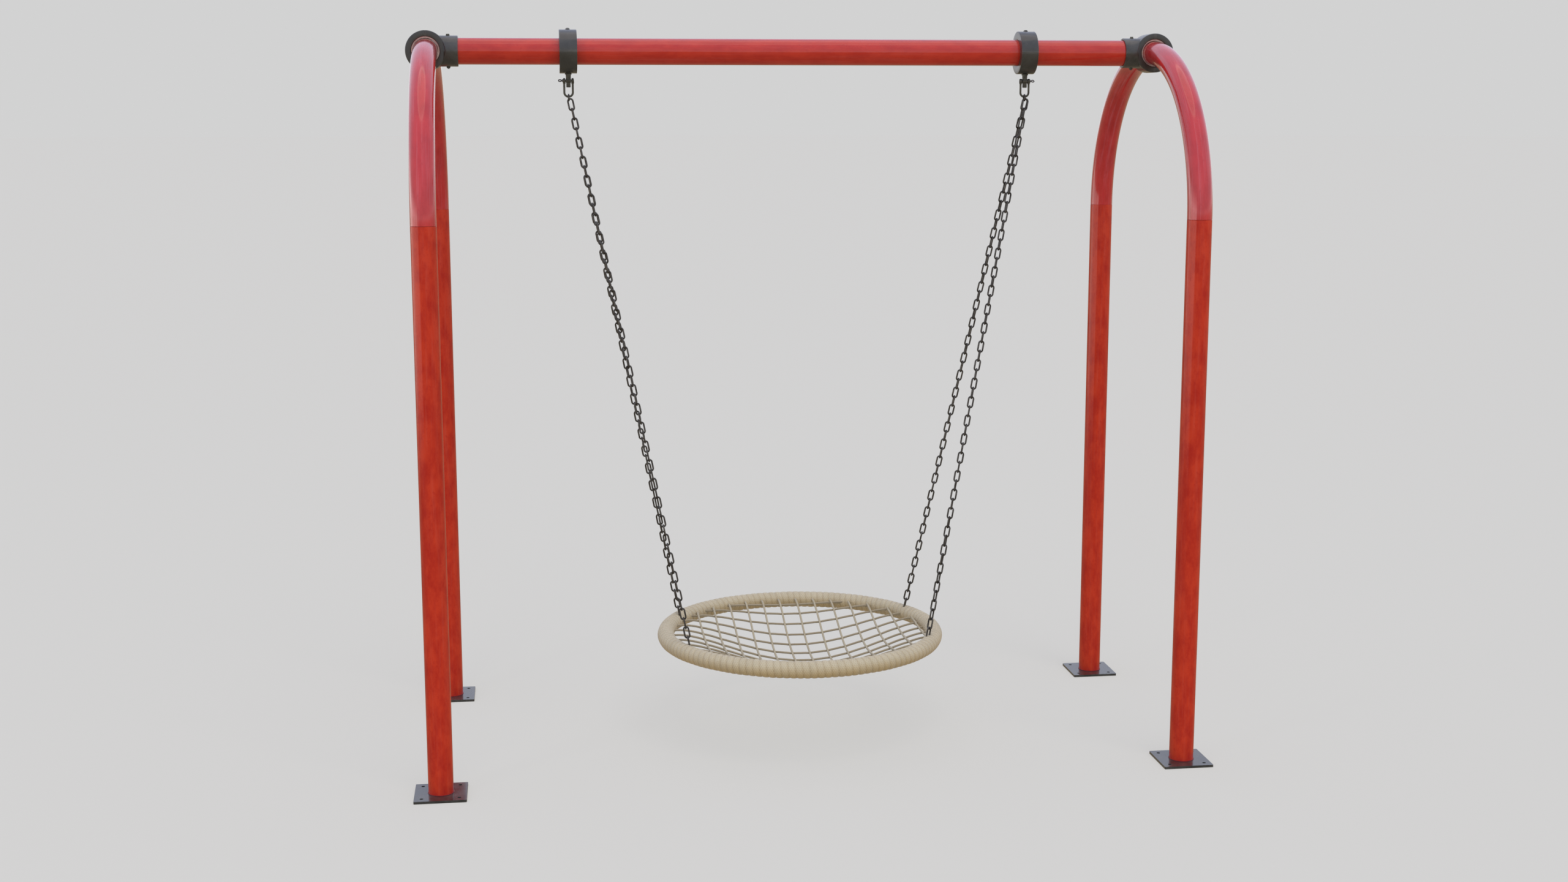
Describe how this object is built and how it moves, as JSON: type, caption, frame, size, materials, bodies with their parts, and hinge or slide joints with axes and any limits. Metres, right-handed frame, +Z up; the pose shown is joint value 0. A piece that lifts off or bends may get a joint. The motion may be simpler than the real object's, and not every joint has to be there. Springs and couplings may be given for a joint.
{
  "type": "nest swing",
  "caption": "Free-standing nest swing: a round rope-wound seat ring with a sagging rope net, hung by chains from a round beam on arched tubular end frames.",
  "frame": {"origin": "on the ground, under the middle of the beam, at the level of the base plates' undersides", "axes": "+X along the beam to the right, +Y from front to back, +Z up"},
  "size_m": [3.144, 1.492, 2.91],
  "materials": {
    "red_paint": "glossy powder coat",
    "black_paint": "glossy black paint",
    "black_casting": "satin black coated casting",
    "forged_steel": "dark oiled forged steel",
    "zinc_steel": "dull zinc plating",
    "chain_steel": "dark galvanised steel, worn",
    "bush_nylon": "plain nylon",
    "padding_foam": "closed-cell foam",
    "rope": "beige braided rope, matt"
  },
  "bodies": {
    "frame": {"beam": "red_paint", "left_arch": "red_paint", "right_arch": "red_paint", "leg_front_left": "red_paint", "leg_front_right": "red_paint", "leg_rear_left": "red_paint", "leg_rear_right": "red_paint", "base_plate_front_left": "black_paint", "base_plate_front_right": "black_paint", "base_plate_rear_left": "black_paint", "base_plate_rear_right": "black_paint", "collar_inner_left": "black_casting", "collar_outer_left": "black_casting", "collar_screw_upper_left": "zinc_steel", "collar_screw_lower_left": "zinc_steel", "socket_bolt_left": "zinc_steel", "clamp_upper_left": "black_casting", "clamp_lower_left": "black_casting", "hanger_lug_left": "forged_steel", "hanger_nut_left": "zinc_steel", "pin_bush_left": "bush_nylon", "collar_inner_right": "black_casting", "collar_outer_right": "black_casting", "collar_screw_upper_right": "zinc_steel", "collar_screw_lower_right": "zinc_steel", "socket_bolt_right": "zinc_steel", "clamp_upper_right": "black_casting", "clamp_lower_right": "black_casting", "hanger_lug_right": "forged_steel", "hanger_nut_right": "zinc_steel", "pin_bush_right": "bush_nylon"},
    "swing": {"chain_front_left": "chain_steel", "chain_eye_front_left": "chain_steel", "chain_front_right": "chain_steel", "chain_eye_front_right": "chain_steel", "chain_rear_left": "chain_steel", "chain_eye_rear_left": "chain_steel", "chain_rear_right": "chain_steel", "chain_eye_rear_right": "chain_steel", "shackle_left": "forged_steel", "shackle_pin_left": "forged_steel", "top_ring_left": "chain_steel", "shackle_right": "forged_steel", "shackle_pin_right": "forged_steel", "top_ring_right": "chain_steel", "ring_core": "zinc_steel", "padding_front": "padding_foam", "rope_wrap_front": "rope", "padding_rear": "padding_foam", "rope_wrap_rear": "rope", "padding_left": "padding_foam", "rope_wrap_left": "rope", "padding_right": "padding_foam", "rope_wrap_right": "rope", "net_front_left": "rope", "net_front_middle": "rope", "net_front_right": "rope", "net_rear_left": "rope", "net_rear_middle": "rope", "net_rear_right": "rope"}
  },
  "joints": [
    {"name": "swing_pivot", "type": "hinge", "parent": "frame", "child": "swing", "pos_m": [0.01, 0, 2.7045], "axis": [1, 0, 0], "range_deg": [-60, 60]}
  ]
}
